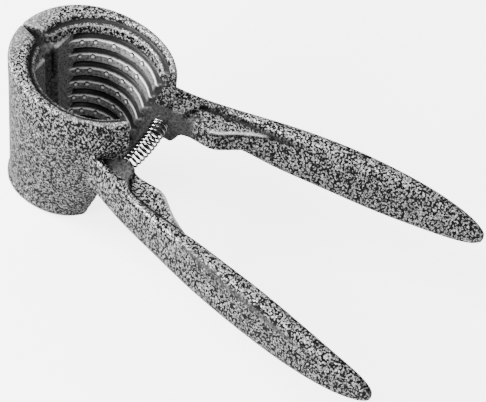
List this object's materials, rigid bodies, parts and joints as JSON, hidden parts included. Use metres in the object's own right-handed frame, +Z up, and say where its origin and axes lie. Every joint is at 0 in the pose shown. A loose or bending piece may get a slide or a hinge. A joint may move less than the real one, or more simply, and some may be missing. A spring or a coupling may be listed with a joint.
{
  "type": "lever nutcracker",
  "caption": "Lever nutcracker with a split, ribbed funnel cup, two long handles on an upright hinge pin, and a coil return spring beside the cup.",
  "frame": {"origin": "middle of the assembly's footprint, at the level of the cup's foot", "axes": "+Z up along the cup and the hinge pin, +X from the hinge towards the handle tips, +Y towards the rear jaw"},
  "size_m": [0.18, 0.0846, 0.08],
  "materials": {
    "hammered_casting": "hammered silver and black paint on cast aluminium",
    "steel_pin": "ground",
    "spring_wire": "bright plated"
  },
  "bodies": {
    "rear_half": {"jaw_rear": "hammered_casting", "hinge_pin": "steel_pin", "return_spring": "spring_wire"},
    "front_half": {"jaw_front": "hammered_casting"}
  },
  "joints": [
    {"name": "jaw_hinge", "type": "hinge", "parent": "rear_half", "child": "front_half", "pos_m": [-0.078, 0, 0], "axis": [0, 0, 1], "range_deg": [0, 15], "stiffness_Nm_per_rad": 3.1, "springref_deg": -4.58, "deforming": ["return_spring"]}
  ]
}
